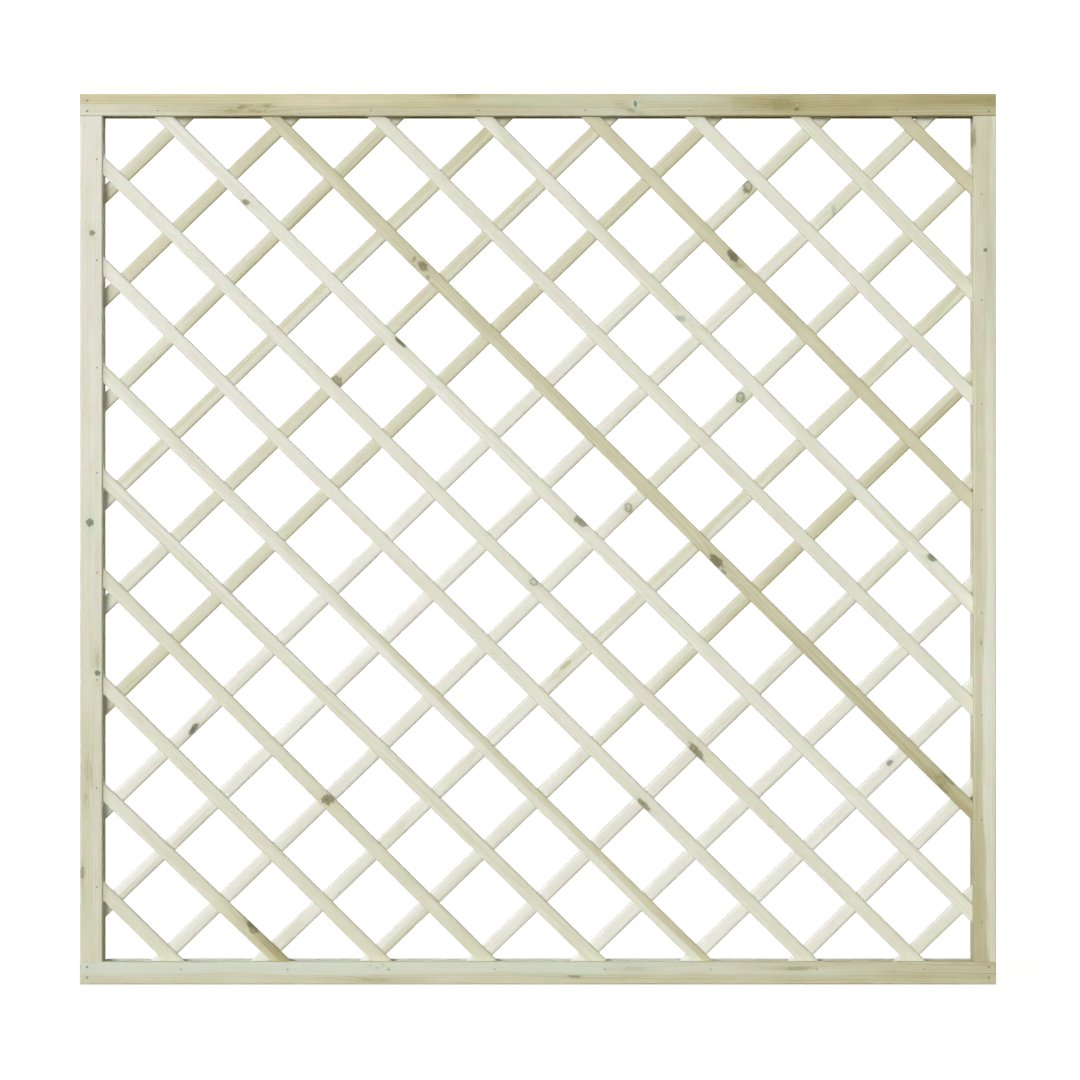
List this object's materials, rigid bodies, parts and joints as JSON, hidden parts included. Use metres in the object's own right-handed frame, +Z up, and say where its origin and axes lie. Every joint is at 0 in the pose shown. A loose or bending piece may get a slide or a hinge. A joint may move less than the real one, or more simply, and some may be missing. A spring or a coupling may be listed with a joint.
{
  "type": "wooden lattice panel",
  "caption": "Framed garden screen: square softwood frame with grooved inner faces holding two layers of diagonal laths that form a diamond lattice for climbing plants.",
  "frame": {"origin": "under the middle of the bottom rail, on the surface that the panel stands on", "axes": "+X to the right as seen from the front, +Y to the back, +Z up"},
  "size_m": [1.83, 0.045, 1.78],
  "materials": {
    "frame_wood": "planed, pressure-treated softwood with a faint green tint",
    "lath_wood": "planed, pressure-treated softwood with a faint green tint",
    "galvanised_wire": "dull galvanised"
  },
  "bodies": {
    "root": {"bottom_rail": "frame_wood", "top_rail": "frame_wood", "left_stile": "frame_wood", "right_stile": "frame_wood", "front_lath_01": "lath_wood", "front_lath_02": "lath_wood", "front_lath_03": "lath_wood", "front_lath_04": "lath_wood", "front_lath_05": "lath_wood", "front_lath_06": "lath_wood", "front_lath_07": "lath_wood", "front_lath_08": "lath_wood", "front_lath_09": "lath_wood", "front_lath_10": "lath_wood", "front_lath_11": "lath_wood", "front_lath_12": "lath_wood", "front_lath_13": "lath_wood", "front_lath_14": "lath_wood", "front_lath_15": "lath_wood", "front_lath_16": "lath_wood", "rear_lath_01": "lath_wood", "rear_lath_02": "lath_wood", "rear_lath_03": "lath_wood", "rear_lath_04": "lath_wood", "rear_lath_05": "lath_wood", "rear_lath_06": "lath_wood", "rear_lath_07": "lath_wood", "rear_lath_08": "lath_wood", "rear_lath_09": "lath_wood", "rear_lath_10": "lath_wood", "rear_lath_11": "lath_wood", "rear_lath_12": "lath_wood", "rear_lath_13": "lath_wood", "rear_lath_14": "lath_wood", "rear_lath_15": "lath_wood", "rear_lath_16": "lath_wood", "corner_nails": "galvanised_wire", "front_lath_pins": "galvanised_wire", "rear_lath_pins": "galvanised_wire", "crossing_staples": "galvanised_wire"}
  },
  "joints": []
}
